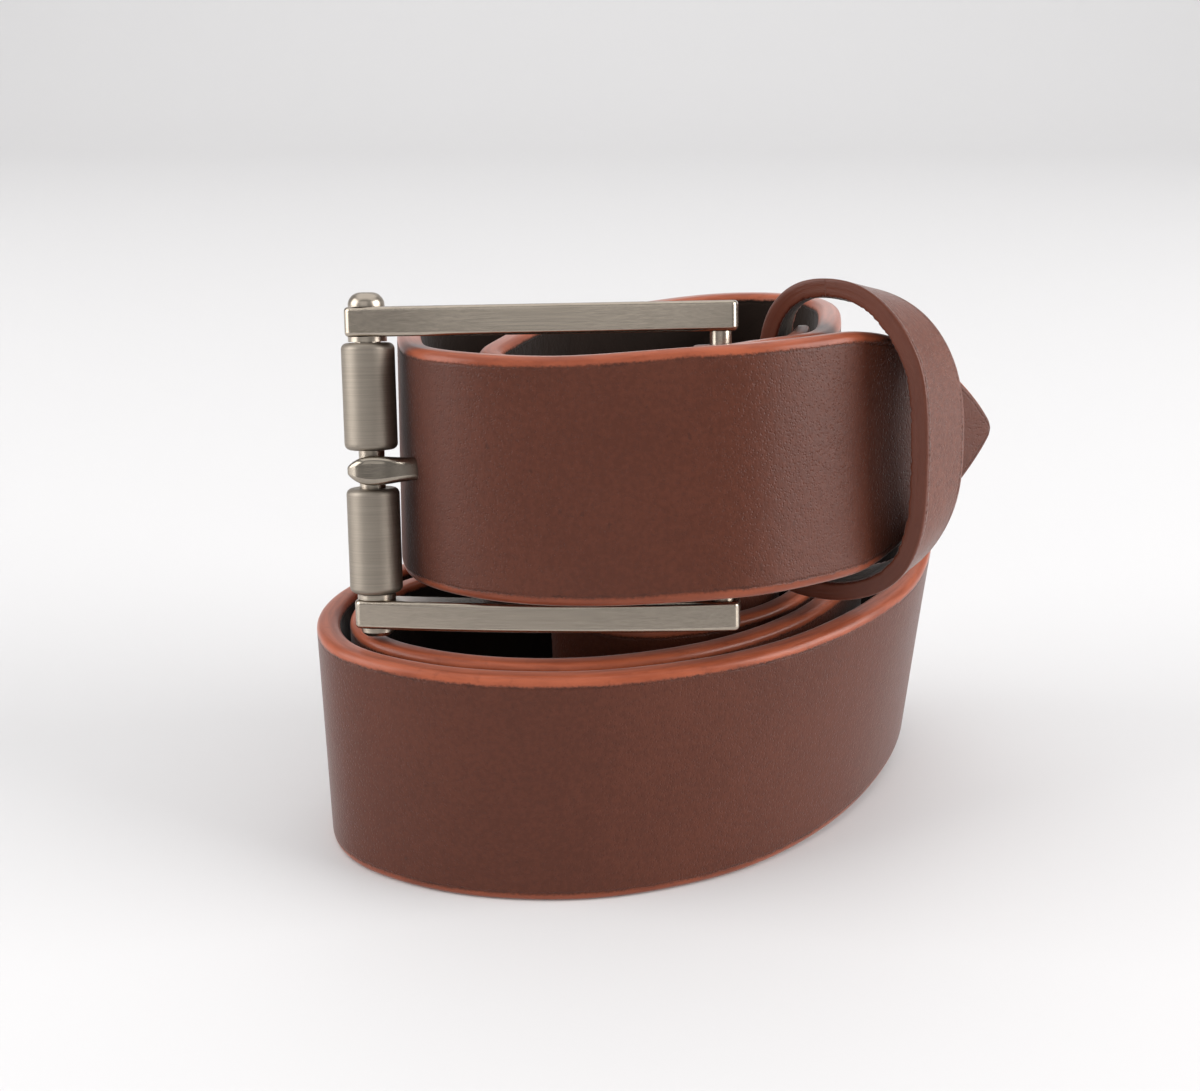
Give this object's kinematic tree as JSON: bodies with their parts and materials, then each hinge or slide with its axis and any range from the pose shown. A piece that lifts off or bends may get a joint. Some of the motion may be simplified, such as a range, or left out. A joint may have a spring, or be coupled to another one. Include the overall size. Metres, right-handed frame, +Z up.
{
  "type": "leather belt",
  "caption": "Plain leather dress belt, coiled and fastened, with a roller buckle, a prong and a loose keeper ring.",
  "frame": {"origin": "middle of the footprint of the coiled belt, on the table it stands on", "axes": "+Z up; the front of the fastened buckle faces -Y, its rollers lie towards -X and the pointed tip towards +X"},
  "size_m": [0.1018, 0.0802, 0.0866],
  "materials": {
    "belt_leather": "smooth brown leather with painted edges",
    "keeper_leather": "smooth brown leather with painted edges",
    "satin_nickel": "satin brushed nickel plate",
    "stud_metal": "plain nickel plate"
  },
  "bodies": {
    "strap": {"strap": "belt_leather", "fold_stud_posts": "stud_metal", "fold_stud_caps": "stud_metal"},
    "buckle": {"buckle_frame": "satin_nickel", "axle_pin": "satin_nickel", "spacer_washer_upper": "satin_nickel", "spacer_washer_lower": "satin_nickel"},
    "roller_upper": {"roller_upper": "satin_nickel"},
    "roller_lower": {"roller_lower": "satin_nickel"},
    "prong": {"prong": "satin_nickel"},
    "keeper": {"keeper_loop": "keeper_leather", "keeper_staple": "stud_metal"}
  },
  "joints": [
    {"name": "buckle_swing", "type": "hinge", "parent": "strap", "child": "buckle", "pos_m": [0.00898, -0.02698, 0.06147], "axis": [-0.0182, 0.1726, 0.9848], "range_deg": [-0.9, 0]},
    {"name": "prong_swing", "type": "hinge", "parent": "strap", "child": "prong", "pos_m": [0.00898, -0.02698, 0.06147], "axis": [-0.0182, 0.1726, 0.9848], "range_deg": [0, 0.5]},
    {"name": "roller_upper_spin", "type": "hinge", "parent": "buckle", "child": "roller_upper", "pos_m": [-0.04072, -0.02099, 0.0595], "axis": [-0.0182, 0.1726, 0.9848], "continuous": true},
    {"name": "roller_lower_spin", "type": "hinge", "parent": "buckle", "child": "roller_lower", "pos_m": [-0.04072, -0.02099, 0.0595], "axis": [-0.0182, 0.1726, 0.9848], "continuous": true},
    {"name": "keeper_slide", "type": "slide", "parent": "strap", "child": "keeper", "axis": [0.6428, 0.766, 0], "range_m": [-0.001, 0.001]}
  ]
}
